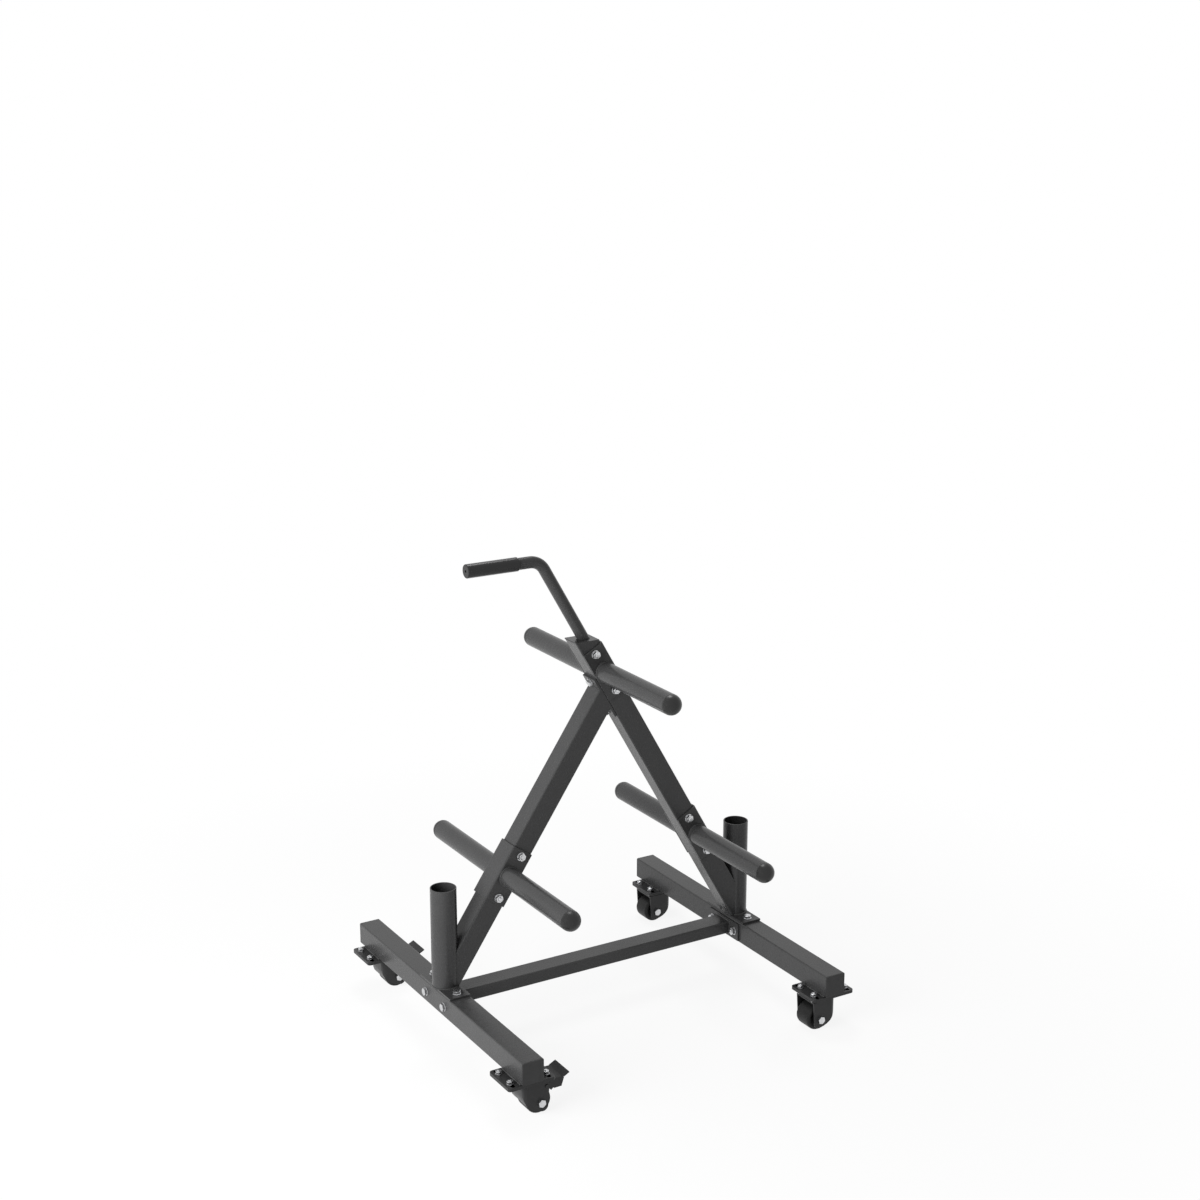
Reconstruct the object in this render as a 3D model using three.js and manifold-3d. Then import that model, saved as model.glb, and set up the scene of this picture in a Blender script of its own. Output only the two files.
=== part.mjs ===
import * as THREE from 'three';
import { mergeVertices } from 'three/addons/utils/BufferGeometryUtils.js';
import Module from 'manifold-3d';

// Barbell storage rack on four casters: an A-frame of square tube that carries
// three pairs of plate pegs, two upright bar holders and a pull handle.
// Millimetres, +Z up, +X along the cross tube, the domed fronts of the pegs to -Y.
// The origin is on the floor, under the middle of the rack.

const wasm = await Module();
wasm.setup();

// Driving dimensions: square tubes and the base
const squareTube = 55;
const squareWall = 3;
const squareCorner = 3.5;
const baseLength = 870;
const baseSpacing = 840;
const baseTop = 150;
const capFlange = 3;
const capPlugDepth = 16;

// Cross tube between the bases, with a bolted plate at each end
const crossHeight = 32;
const crossDepth = 55;
const crossWall = 2.5;
const crossRise = 1.5;
const endPlateThick = 5;
const endPlateLength = 130;
const endPlateHeight = 46;
const crossBoltInset = 17;
const drainRadius = 5;

// Bar holders: a round tube welded on a plate that bolts to the base
const holderRadius = 31.75;
const holderWall = 3;
const holderHeight = 250;
const holderPlateThick = 5;
const holderPlateLength = 160;
const holderBoltInset = 19;

// Leaning uprights: angles from vertical, where their inner faces land, and how
// far the top reaches above the upper pegs
const leftLean = THREE.MathUtils.degToRad(34);
const rightLean = THREE.MathUtils.degToRad(30);
const leftSetIn = 3;
const rightSetIn = 2;
const uprightRise = 80;
const topCapThick = 3;
const apexPlateThick = 6;
const apexPlateLength = 118;
const apexDrop = 0.28;
const apexBoltInset = 12.5;

// Plate pegs, and the saddles that carry a front and a rear peg each
const pegRadius = 25;
const pegWall = 2.5;
const pegTubeEnd = 322;
const domeDepth = 25;
const domePlugDepth = 20;
const lowerPegHeight = 407;
const upperPegRise = 66;
const saddleThick = 4;
const saddleLength = 142;
const saddleBoltInset = 15;
const saddleBend = 5;

// Pull handle on the right upright
const handleRadius = 14.3;
const handleWall = 2;
const handleBend = 45;
const handleRise = 208.7;
const handleShift = 5.5;
const handleBare = 32.97;
const gripRadius = 16.7;
const gripLength = 134;
const gripEndThick = 4;
const gripEndHole = 3;

// Casters
const casterPlateWidth = 120;
const casterPlateDepth = 98;
const casterPlateThick = 3.5;
const mountPlateThick = 4;
const plateCorner = 8;
const frontCasterInset = 52;
const rearCasterInset = 73;
const casterBoltInset = 14;
const casterSlotInset = 22;
const slotReach = 14;
const wheelRadius = 31;
const wheelWidth = 50;
const wheelShoulder = 6;
const wheelOffset = 29;
const hubRadius = 11;
const rimRadius = 22;
const rimRecess = 3;
const legThick = 3;
const legGap = 64;
const crownThick = 4;
const crownTop = 79.5;
const raceRadius = 27;
const kingpinRadius = 6;
const kingpinHeadRadius = 10;
const kingpinHeadThick = 4.5;

// Brake pedal of the left casters
const pedalSideGap = 2.3;
const pedalWall = 2.5;
const padWidth = 63;
const pedalPivotOut = 44;
const pedalPivotHeight = 68.5;
const pedalBarrelRadius = 4.5;
const pedalPinRadius = 3;
const pedalRivetRadius = 5;
const pedalRivetThick = 1.6;

// Fasteners: large bolts hold the frame, small bolts hold the casters
const largeBolt = { shank: 5, flats: 17, head: 6.5, nut: 8, tail: 3, washer: 10.5, washerThick: 2 };
const smallBolt = { shank: 4, flats: 13, head: 5.5, nut: 6.5, tail: 5 };

// Clearances and small allowances
const seatGap = 0.3;
const holeClearance = 0.4;
const slideGap = 0.35;
const weldBite = 0.5;
const overrun = 20;

// Facets round each kind of circle
const roundSides = 24;
const pegSides = 20;
const shankSides = 6;
const washerSides = 10;
const cornerSides = 2;
const slotSides = 2;
const bendSides = 3;

// Sizes that follow from the driving dimensions
const half = (size) => size / 2;
const baseX = half(baseSpacing);
const baseAxisHeight = baseTop - half(squareTube);
const baseBottom = baseTop - squareTube;
const baseInner = baseX - half(squareTube);
const baseOuter = baseX + half(squareTube);
const holderPlateTop = baseTop + holderPlateThick;
const crossAxisHeight = baseAxisHeight + crossRise;
const casterPlateTop = baseBottom - mountPlateThick;
const casterPlateBottom = casterPlateTop - casterPlateThick;
const crownBottom = crownTop - crownThick;
const holeRadius = (radius) => (radius + holeClearance) / Math.cos(Math.PI / shankSides);
const forkHalfWidth = half(legGap) + legThick;
const pedalWidth = legGap - 2 * pedalSideGap;
const frontCasterY = -half(baseLength) + frontCasterInset;
const rearCasterY = half(baseLength) - rearCasterInset;
const saddleFace = half(squareTube) + seatGap + saddleThick;
const crossBoltSpread = half(endPlateLength) - crossBoltInset;
const holderBoltSpread = half(holderPlateLength) - holderBoltInset;
const apexBoltSpread = half(apexPlateLength) - apexBoltInset;
const saddleBoltSpread = half(saddleLength) - saddleBoltInset;
const casterBoltAcross = half(casterPlateWidth) - casterBoltInset;
const casterBoltAlong = half(casterPlateDepth) - casterSlotInset;
const mountTop = baseBottom + weldBite;
const casterBoltTop = mountTop + smallBolt.nut + smallBolt.tail;

// Materials
const material = (color, roughness, metalness) =>
  new THREE.MeshStandardMaterial({ color, roughness, metalness });
const paint = material(0x3b3c3e, 0.5, 0.35);
const darkPaint = material(0x2a2b2c, 0.5, 0.3);
const zinc = material(0xc9ccd0, 0.35, 0.9);
const gloss = material(0x141415, 0.2, 0);
const plastic = material(0x2f3031, 0.55, 0);
const tread = material(0x1d1d1e, 0.7, 0);
const gripRubber = material(0x161617, 0.6, 0);

// Helpers: placing, solids, joins and cuts
function shift(x, y, z) {
  return new THREE.Matrix4().makeTranslation(x, y, z);
}

function toSolid(geometry, ...matrices) {
  const plain = geometry.clone();
  plain.deleteAttribute('normal');
  plain.deleteAttribute('uv');
  matrices.forEach((matrix) => plain.applyMatrix4(matrix));
  const merged = mergeVertices(plain);
  const vertProperties = new Float32Array(merged.attributes.position.array);
  const triVerts = new Uint32Array(merged.index.array);
  return new wasm.Manifold(new wasm.Mesh({ numProp: 3, vertProperties, triVerts }));
}

function toGeometry(solid) {
  const { vertProperties, triVerts } = solid.getMesh();
  const geometry = new THREE.BufferGeometry();
  geometry.setAttribute('position', new THREE.BufferAttribute(vertProperties, 3));
  geometry.setIndex(new THREE.BufferAttribute(triVerts, 1));
  geometry.computeVertexNormals();
  return geometry;
}

const join = (...solids) => solids.reduce((whole, piece) => whole.add(piece));
const cut = (whole, ...tools) => tools.reduce((rest, tool) => rest.subtract(tool), whole);

function block(width, depth, height, ...matrices) {
  return toSolid(new THREE.BoxGeometry(width, depth, height), ...matrices);
}

// A cylinder that stands on its foot: from z = 0 up to its height
function post(radius, height, sides, ...matrices) {
  const geometry = new THREE.CylinderGeometry(radius, radius, height, sides);
  geometry.rotateX(Math.PI / 2);
  geometry.translate(0, 0, half(height));
  return toSolid(geometry, ...matrices);
}

// The same cylinder laid along Y or X, centred on the given point
function rodAlongY(radius, length, sides, x, z, y = 0) {
  const turn = new THREE.Matrix4().makeRotationX(-Math.PI / 2);
  return post(radius, length, sides, shift(0, 0, -half(length)), turn, shift(x, y, z));
}

function rodAlongX(radius, length, sides, y, z, x = 0) {
  const turn = new THREE.Matrix4().makeRotationY(Math.PI / 2);
  return post(radius, length, sides, shift(0, 0, -half(length)), turn, shift(x, y, z));
}

function roundedRectangle(width, height, corner) {
  const shape = new THREE.Shape();
  const x = half(width) - corner;
  const y = half(height) - corner;
  shape.absarc(x, y, corner, 0, Math.PI / 2);
  shape.absarc(-x, y, corner, Math.PI / 2, Math.PI);
  shape.absarc(-x, -y, corner, Math.PI, Math.PI * 3 / 2);
  shape.absarc(x, -y, corner, Math.PI * 3 / 2, Math.PI * 2);
  shape.closePath();
  return shape;
}

// A shape in X and Y pulled up from z = 0
function prism(shape, height, sides = cornerSides) {
  return new THREE.ExtrudeGeometry(shape, { depth: height, bevelEnabled: false, curveSegments: sides });
}

function boxSection(width, height, wall, corner) {
  const section = roundedRectangle(width, height, corner);
  const innerCorner = Math.max(corner - wall, half(corner - Math.min(corner, wall)) + half(wall));
  section.holes.push(roundedRectangle(width - 2 * wall, height - 2 * wall, innerCorner));
  return section;
}

// A profile in X and Z, given as points, pulled along Y and centred on y = 0
function profileAlongY(points, width) {
  const shape = new THREE.Shape(points.map(([x, z]) => new THREE.Vector2(x, z)));
  const geometry = prism(shape, width);
  geometry.rotateX(Math.PI / 2);
  geometry.translate(0, half(width), 0);
  return toSolid(geometry);
}

function node(name, solid, finish) {
  const mesh = new THREE.Mesh(toGeometry(solid), finish);
  mesh.name = name;
  return mesh;
}

// A bolt with its nut, along +Z: the clamped pieces fill z = 0 to the grip
function boltSolid(size, grip) {
  const across = size.flats / Math.sqrt(3);
  const washerThick = size.washer ? size.washerThick : 0;
  const top = grip + washerThick + size.nut + size.tail;
  const foot = -washerThick - size.head;
  const pieces = [
    post(size.shank, top - foot, shankSides, shift(0, 0, foot)),
    post(across, size.head, 6, shift(0, 0, foot)),
    post(across, size.nut, 6, shift(0, 0, grip + washerThick)),
  ];
  if (size.washer) {
    pieces.push(post(size.washer, washerThick, washerSides, shift(0, 0, -washerThick)));
    pieces.push(post(size.washer, washerThick, washerSides, shift(0, 0, grip)));
  }
  return join(...pieces);
}

// Base tubes: square tube with a welded plate under each end for its caster
function slotAlongY(radius, x, fromY, toY, bottom, height) {
  const shape = new THREE.Shape();
  shape.absarc(x, Math.max(fromY, toY), radius, 0, Math.PI);
  shape.absarc(x, Math.min(fromY, toY), radius, Math.PI, Math.PI * 2);
  shape.closePath();
  return toSolid(prism(shape, height, slotSides), shift(0, 0, bottom));
}

const signs = [-1, 1];
const corners = signs.flatMap((sx) => signs.map((sy) => [sx, sy]));

function slottedPlate(thick, bottom) {
  const outline = roundedRectangle(casterPlateWidth, casterPlateDepth, plateCorner);
  const plate = toSolid(prism(outline, thick, slotSides), shift(0, 0, bottom));
  const slots = corners.map(([sx, sy]) => slotAlongY(
    holeRadius(smallBolt.shank),
    sx * casterBoltAcross,
    sy * casterBoltAlong,
    sy * (casterBoltAlong + slotReach),
    bottom - overrun,
    thick + 2 * overrun,
  ));
  return cut(plate, ...slots);
}

function baseTubeSolid() {
  const tubeLength = baseLength - 2 * capFlange;
  const section = boxSection(squareTube, squareTube, squareWall, squareCorner);
  const layDown = new THREE.Matrix4().makeRotationX(Math.PI / 2);
  const tube = toSolid(prism(section, tubeLength), layDown, shift(0, half(tubeLength), baseAxisHeight));
  const boltHole = holeRadius(largeBolt.shank);
  const tools = signs.flatMap((side) => [
    rodAlongX(boltHole, squareTube + overrun, shankSides, side * crossBoltSpread, baseAxisHeight),
    post(boltHole, squareTube + overrun, shankSides,
      shift(0, side * holderBoltSpread, baseBottom - half(overrun))),
  ]);
  const plates = [frontCasterY, rearCasterY].map((y) =>
    slottedPlate(mountPlateThick + weldBite, casterPlateTop).translate(0, y, 0));
  return join(cut(tube, ...tools), ...plates);
}

function baseCapSolid() {
  const flange = toSolid(prism(roundedRectangle(squareTube, squareTube, squareCorner), capFlange));
  const plugSize = squareTube - 2 * squareWall - 2 * slideGap;
  const plug = toSolid(
    prism(roundedRectangle(plugSize, plugSize, half(squareCorner)), capPlugDepth + capFlange),
    shift(0, 0, -capPlugDepth),
  );
  return join(flange, plug);
}

function addBase(rack) {
  signs.forEach((side) => {
    const sideName = side < 0 ? 'left' : 'right';
    const tube = node(`${sideName}_base_tube`, baseTubeSolid(), paint);
    tube.position.x = side * baseX;
    rack.add(tube);
    signs.forEach((end) => {
      const endName = end < 0 ? 'front' : 'rear';
      const cap = node(`${sideName}_${endName}_end_cap`, baseCapSolid(), plastic);
      cap.rotation.x = -end * Math.PI / 2;
      cap.position.set(side * baseX, end * (half(baseLength) - capFlange), baseAxisHeight);
      rack.add(cap);
    });
  });
}

// Cross tube: flat tube with a drilled plate welded on each end
function crossTubeSolid() {
  const tubeLength = 2 * baseInner - 2 * endPlateThick;
  const section = boxSection(crossHeight, crossDepth, crossWall, squareCorner);
  const layAcross = new THREE.Matrix4().makeRotationY(Math.PI / 2);
  const tube = toSolid(
    prism(section, tubeLength + 2 * weldBite),
    shift(0, 0, -half(tubeLength) - weldBite),
    layAcross,
    shift(0, 0, crossAxisHeight),
  );
  const plates = signs.map((side) => block(endPlateThick, endPlateLength, endPlateHeight,
    shift(side * (baseInner - half(endPlateThick)), 0, baseAxisHeight)));
  const holes = signs.flatMap((side) => [
    ...signs.map((along) => rodAlongX(holeRadius(largeBolt.shank), 2 * endPlateThick, shankSides,
      along * crossBoltSpread, baseAxisHeight, side * baseInner)),
    rodAlongX(drainRadius, 2 * endPlateThick + overrun, shankSides,
      0, crossAxisHeight, side * baseInner),
  ]);
  return cut(join(tube, ...plates), ...holes);
}

function addCrossTube(rack) {
  rack.add(node('cross_tube', crossTubeSolid(), paint));
  const grip = squareTube + endPlateThick;
  signs.forEach((side) => signs.forEach((along) => {
    const sideName = side < 0 ? 'left' : 'right';
    const endName = along < 0 ? 'front' : 'rear';
    const bolt = node(`${sideName}_${endName}_cross_bolt`, boltSolid(largeBolt, grip), zinc);
    bolt.rotation.y = -side * Math.PI / 2;
    bolt.position.set(side * baseOuter, along * crossBoltSpread, baseAxisHeight);
    rack.add(bolt);
  }));
}

// Bar holders
function holderSolid() {
  const outer = post(holderRadius, holderHeight + weldBite, roundSides, shift(0, 0, holderPlateTop - weldBite));
  const bore = post(holderRadius - holderWall, holderHeight + overrun, roundSides, shift(0, 0, holderPlateTop));
  const plate = block(squareTube, holderPlateLength, holderPlateThick,
    shift(0, 0, baseTop + half(holderPlateThick)));
  const holes = signs.map((side) => post(holeRadius(largeBolt.shank), 2 * overrun, shankSides,
    shift(0, side * holderBoltSpread, baseTop - overrun)));
  return cut(join(outer, plate), bore, ...holes);
}

function addHolders(rack) {
  const grip = squareTube + holderPlateThick;
  signs.forEach((side) => {
    const sideName = side < 0 ? 'left' : 'right';
    const holder = node(`${sideName}_bar_holder`, holderSolid(), paint);
    holder.position.x = side * baseX;
    rack.add(holder);
    signs.forEach((along) => {
      const endName = along < 0 ? 'front' : 'rear';
      const bolt = node(`${sideName}_${endName}_holder_bolt`, boltSolid(largeBolt, grip), zinc);
      bolt.rotation.x = Math.PI;
      bolt.position.set(side * baseX, along * holderBoltSpread, holderPlateTop);
      rack.add(bolt);
    });
  });
}

// A frame on each upright: origin on its axis at the height of the holder plate,
// local Z up the tube. Local X points inwards on the left and outwards on the right.
function uprightFrame(side, lean, setIn) {
  const frame = new THREE.Group();
  frame.rotation.y = -side * lean;
  frame.position.set(side * (baseInner + setIn + half(squareTube) / Math.cos(lean)), 0, holderPlateTop);
  frame.updateMatrixWorld(true);
  return frame;
}

const leftFrame = uprightFrame(-1, leftLean, leftSetIn);
const rightFrame = uprightFrame(1, rightLean, rightSetIn);

// The left upright's axis meets the right upright's inner face at this height;
// the end plate, the upper pegs, the top and the handle follow it
const apexFace = half(squareTube) + seatGap;

function crossingHeight() {
  const apart = rightFrame.position.x - apexFace / Math.cos(rightLean) - leftFrame.position.x;
  return holderPlateTop + apart / (Math.tan(leftLean) + Math.tan(rightLean));
}

const apexHeight = crossingHeight() - apexDrop;
const upperPegHeight = apexHeight + upperPegRise;
const uprightTop = upperPegHeight + uprightRise;
const handleHeight = uprightTop + handleRise;
const alongUpright = (height, lean) => (height - holderPlateTop) / Math.cos(lean);
const leftPegAlong = alongUpright(lowerPegHeight, leftLean);
const rightPegAlong = alongUpright(lowerPegHeight, rightLean);
const topPegAlong = alongUpright(upperPegHeight, rightLean);

function uprightTube(length, pegPlaces) {
  const section = boxSection(squareTube, squareTube, squareWall, squareCorner);
  const start = -squareTube;
  const tube = toSolid(prism(section, length - start), shift(0, 0, start));
  const holes = pegPlaces.flatMap((along) => signs.map((side) => rodAlongY(
    holeRadius(largeBolt.shank),
    squareTube + overrun,
    shankSides,
    0,
    along + side * saddleBoltSpread,
  )));
  return cut(tube, ...holes);
}

// The foot is cut off above the holder plate and coped to the round holder
function copeFoot(solid, frame, side) {
  const toFrame = frame.matrixWorld.clone().invert();
  const reach = baseLength;
  const floorTool = block(reach, reach, reach,
    shift(side * baseX, 0, holderPlateTop + seatGap - half(reach)), toFrame);
  const copeRadius = holderRadius + seatGap;
  const copeTool = post(copeRadius, reach, roundSides, shift(side * baseX, 0, 0), toFrame);
  const copeDepth = Math.sqrt(copeRadius ** 2 - half(squareTube) ** 2);
  const outsideTool = block(reach, reach, reach,
    shift(side * (baseX - copeDepth + half(reach)), 0, 0), toFrame);
  return cut(solid, floorTool, copeTool, outsideTool);
}

// Beyond this distance left of the right upright's axis the left upright must stop
const apexAlong = alongUpright(apexHeight + apexFace * Math.sin(rightLean), rightLean);
const rightToLeft = leftFrame.matrixWorld.clone().invert().multiply(rightFrame.matrixWorld);

function leftUprightSolid() {
  const reach = uprightTop;
  const tube = uprightTube(reach, [leftPegAlong]);
  const mitreTool = block(reach, reach, 2 * reach,
    shift(half(reach) - apexFace - half(apexPlateThick), 0, reach), rightToLeft);
  const plate = block(apexPlateThick, squareTube, apexPlateLength,
    shift(-apexFace - half(apexPlateThick), 0, apexAlong), rightToLeft);
  const holes = signs.map((side) => rodAlongX(
    holeRadius(largeBolt.shank),
    2 * apexPlateThick,
    shankSides,
    0,
    apexAlong + side * apexBoltSpread,
    -apexFace,
  )).map((rod) => moved(rod, rightToLeft));
  const mitred = cut(tube, mitreTool);
  return cut(copeFoot(join(mitred, plate), leftFrame, -1), ...holes);
}

function moved(solid, matrix) {
  return toSolid(toGeometry(solid), matrix);
}

// Bolts screwed into the right upright hold the left upright's end plate
function apexBolt(along) {
  const across = largeBolt.flats / Math.sqrt(3);
  const plateFace = apexFace + apexPlateThick + seatGap;
  const washerFace = plateFace + largeBolt.washerThick;
  const headFace = washerFace + largeBolt.head;
  const start = half(squareTube) - half(squareWall);
  const rod = (radius, from, to, sides) =>
    rodAlongX(radius, to - from, sides, 0, along, -half(from + to));
  return join(
    rod(largeBolt.shank, start, headFace, shankSides),
    rod(largeBolt.washer, plateFace, washerFace, washerSides),
    rod(across, washerFace, headFace, 6),
  );
}

function rightUprightSolid() {
  const toFrame = rightFrame.matrixWorld.clone().invert();
  const reach = 2 * uprightTop;
  const tube = uprightTube(reach, [rightPegAlong, topPegAlong]);
  const topTool = block(reach, reach, reach, shift(0, 0, uprightTop + half(reach)), toFrame);
  const capX = rightAxisX(uprightTop);
  const capWidth = squareTube / Math.cos(rightLean);
  const cap = block(capWidth, squareTube, topCapThick + weldBite,
    shift(capX, 0, uprightTop + half(topCapThick - weldBite)), toFrame);
  const bolts = signs.map((side) => apexBolt(apexAlong + side * apexBoltSpread));
  return join(copeFoot(cut(tube, topTool), rightFrame, 1), cap, ...bolts);
}

function rightAxisX(height) {
  return rightFrame.position.x - (height - holderPlateTop) * Math.tan(rightLean);
}

function addUprights() {
  leftFrame.add(node('left_upright', leftUprightSolid(), paint));
  rightFrame.add(node('right_upright', rightUprightSolid(), paint));
}

// Saddles: a channel over the outer face of an upright, bolted through it
function saddleSolid(webSide) {
  const outerWidth = 2 * saddleFace;
  const openFace = half(squareTube);
  const webFace = half(squareTube) + seatGap + saddleThick;
  const depth = openFace + webFace;
  const centre = half(webFace - openFace);
  const outline = roundedRectangle(depth + saddleBend, outerWidth, saddleBend);
  const squareEnd = block(saddleBend, outerWidth + overrun, saddleLength + overrun,
    shift(-webSide * (half(depth) + half(saddleBend)), 0, 0));
  const bent = toSolid(prism(outline, saddleLength, bendSides),
    shift(-webSide * half(saddleBend), 0, -half(saddleLength)));
  const body = moved(cut(bent, squareEnd), shift(webSide * centre, 0, 0));
  const innerDepth = depth - saddleThick + overrun;
  const channel = block(innerDepth, squareTube + 2 * seatGap, saddleLength + overrun,
    shift(webSide * (webFace - saddleThick - half(innerDepth)), 0, 0));
  const holes = signs.map((side) => rodAlongY(holeRadius(largeBolt.shank), outerWidth + overrun,
    shankSides, 0, side * saddleBoltSpread));
  return cut(body, channel, ...holes);
}

function pegSolid(length) {
  const outer = rodAlongY(pegRadius, length, pegSides, 0, 0);
  const bore = rodAlongY(pegRadius - pegWall, length + overrun, pegSides, 0, 0);
  return cut(outer, bore);
}

// Domed plug: a smooth dome over the tube end and a plug inside it
const domeSteps = 5;

function pegCapGeometry() {
  const points = [new THREE.Vector2(0, -domePlugDepth)];
  const plugRadius = pegRadius - pegWall - slideGap;
  points.push(new THREE.Vector2(plugRadius, -domePlugDepth));
  points.push(new THREE.Vector2(plugRadius, 0));
  for (let step = 0; step < domeSteps; step += 1) {
    const angle = half(Math.PI) * step / domeSteps;
    points.push(new THREE.Vector2(pegRadius * Math.cos(angle), domeDepth * Math.sin(angle)));
  }
  points.push(new THREE.Vector2(0, domeDepth));
  return new THREE.LatheGeometry(points, pegSides);
}

function addPegPair(frame, levelName, along, webSide) {
  const level = new THREE.Group();
  level.position.z = along;
  frame.add(level);
  level.add(node(`${levelName}_saddle`, saddleSolid(webSide), paint));
  const pegLength = pegTubeEnd - saddleFace;
  signs.forEach((end) => {
    const endName = end < 0 ? 'front' : 'rear';
    const peg = node(`${levelName}_${endName}_peg`, pegSolid(pegLength), paint);
    peg.position.y = end * (saddleFace + half(pegLength));
    level.add(peg);
    const cap = node(`${levelName}_${endName}_peg_cap`, toSolid(pegCapGeometry()), gloss);
    cap.rotation.x = end < 0 ? Math.PI : 0;
    cap.position.y = end * pegTubeEnd;
    level.add(cap);
  });
  signs.forEach((side) => {
    const placeName = side < 0 ? 'lower' : 'upper';
    const bolt = node(`${levelName}_${placeName}_saddle_bolt`, boltSolid(largeBolt, 2 * saddleFace), zinc);
    bolt.rotation.x = Math.PI / 2;
    bolt.position.set(0, saddleFace, side * saddleBoltSpread);
    level.add(bolt);
  });
}

// Pull handle: a bent tube on the top cap, with a rubber grip on its end
const handleSides = 6;
const handleSteps = 7;

// Where the bend ends, and where the bare straight and the grip after it end
const handleTurn = half(Math.PI) - rightLean;
const handleBendX = rightAxisX(handleHeight) + handleShift - handleBend * Math.tan(half(handleTurn));
const handleEndX = handleBendX - handleBare - (gripLength - gripEndThick - seatGap);

// A straight, a circular bend and a straight: the first and the last step are
// the straights, and all steps between them share out the bend
class HandleCurve extends THREE.Curve {
  constructor() {
    super();
    this.turn = handleTurn;
    this.centre = new THREE.Vector3(handleBendX, 0, handleHeight - handleBend);
    const bendStart = this.bendPoint(0);
    const drop = bendStart.z - uprightTop;
    this.start = new THREE.Vector3(bendStart.x + drop * Math.tan(rightLean), 0, uprightTop);
    this.end = new THREE.Vector3(handleEndX, 0, handleHeight);
  }

  bendPoint(share) {
    const angle = rightLean + this.turn * share;
    const arm = new THREE.Vector3(Math.cos(angle), 0, Math.sin(angle));
    return this.centre.clone().addScaledVector(arm, handleBend);
  }

  getPoint(t) {
    const step = t * handleSteps;
    if (step < 1) return this.start.clone().lerp(this.bendPoint(0), step);
    if (step > handleSteps - 1) return this.bendPoint(1).lerp(this.end, step - handleSteps + 1);
    return this.bendPoint((step - 1) / (handleSteps - 2));
  }

  getUtoTmapping(u) {
    return u;
  }
}

function circleShape(radius) {
  const shape = new THREE.Shape();
  shape.absarc(0, 0, radius, 0, Math.PI * 2);
  return shape;
}

function handleSolid() {
  const ring = circleShape(handleRadius);
  ring.holes.push(circleShape(handleRadius - handleWall));
  const geometry = new THREE.ExtrudeGeometry(ring, {
    extrudePath: new HandleCurve(),
    steps: handleSteps,
    curveSegments: handleSides,
    bevelEnabled: false,
  });
  const reach = 2 * squareTube;
  const foot = block(reach, reach, reach,
    shift(rightAxisX(uprightTop), 0, uprightTop + topCapThick + seatGap - half(reach)));
  return cut(toSolid(geometry), foot);
}

function gripGeometry() {
  const bore = handleRadius + slideGap;
  const edge = gripRadius - bore;
  const points = [
    [gripEndHole, 0],
    [gripRadius - edge, 0],
    [gripRadius, edge],
    [gripRadius, gripLength - edge],
    [gripRadius - half(edge), gripLength],
    [bore, gripLength],
    [bore, gripEndThick],
    [gripEndHole, gripEndThick],
    [gripEndHole, 0],
  ].map(([radius, along]) => new THREE.Vector2(radius, along));
  return new THREE.LatheGeometry(points, pegSides);
}

function addHandle(rack) {
  rack.add(node('pull_handle', handleSolid(), paint));
  const grip = node('handle_grip', toSolid(gripGeometry()), gripRubber);
  grip.rotation.z = -Math.PI / 2;
  grip.position.set(handleEndX - gripEndThick - seatGap, 0, handleHeight);
  rack.add(grip);
}

// Casters, each in a frame on its swivel axis: the wheel trails to local -X
function casterPlateSolid() {
  const plate = slottedPlate(casterPlateThick, casterPlateBottom);
  const raceBottom = crownTop + seatGap;
  const race = post(raceRadius, casterPlateBottom + weldBite - raceBottom, roundSides, shift(0, 0, raceBottom));
  const headTop = crownBottom - seatGap;
  const headBottom = headTop - kingpinHeadThick;
  const pin = post(kingpinRadius, raceBottom + weldBite - headBottom, washerSides, shift(0, 0, headBottom));
  const head = post(kingpinHeadRadius, kingpinHeadThick, washerSides, shift(0, 0, headBottom));
  const boltFoot = casterPlateBottom - smallBolt.head;
  const across = smallBolt.flats / Math.sqrt(3);
  const bolts = corners.flatMap(([sx, sy]) => {
    const x = sx * casterBoltAcross;
    const y = sy * casterBoltAlong;
    return [
      post(smallBolt.shank, casterBoltTop - boltFoot, shankSides, shift(x, y, boltFoot)),
      post(across, smallBolt.head, 6, shift(x, y, boltFoot)),
      post(across, smallBolt.nut, 6, shift(x, y, mountTop)),
    ];
  });
  return join(plate, race, pin, head, ...bolts);
}

// Outline of the fork seen from the side, as distances from the swivel axis
// and heights above the floor, with its lower edge swept up to the closed back
const forkOpenTop = -51;
const forkOpenFoot = -46;
const forkBack = 16;
const forkFootHeight = 8;
const forkSweep = [[-32, 9], [-19, 12], [-8, 16.5], [1, 23], [8, 31.5], [13, 43], [15.5, 55]];
const forkPlanCorner = 14;

function forkSide() {
  return [
    [forkOpenTop, crownTop],
    [forkOpenFoot, forkFootHeight],
    ...forkSweep,
    [forkBack, crownBottom],
    [forkBack, crownTop],
  ];
}

function forkCavity() {
  const inside = forkSweep.slice(4).map(([x, z]) => [x - legThick, z + half(legThick)]);
  const innerBack = forkBack - legThick;
  const mouth = 2 * forkOpenTop;
  const [lowest] = inside;
  return [
    [mouth, crownBottom],
    [mouth, -overrun],
    [lowest[0], -overrun],
    ...inside,
    [innerBack, crownBottom],
  ];
}

// Plan of the fork: square at its open side, rounded at its closed back
function forkPlan(back, halfWidth, corner) {
  const shape = new THREE.Shape();
  shape.moveTo(2 * forkOpenTop, -halfWidth);
  shape.lineTo(back - corner, -halfWidth);
  shape.absarc(back - corner, -halfWidth + corner, corner, -Math.PI / 2, 0);
  shape.absarc(back - corner, halfWidth - corner, corner, 0, Math.PI / 2);
  shape.lineTo(2 * forkOpenTop, halfWidth);
  shape.closePath();
  return toSolid(prism(shape, crownTop + 2 * overrun, 4), shift(0, 0, -overrun));
}

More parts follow.
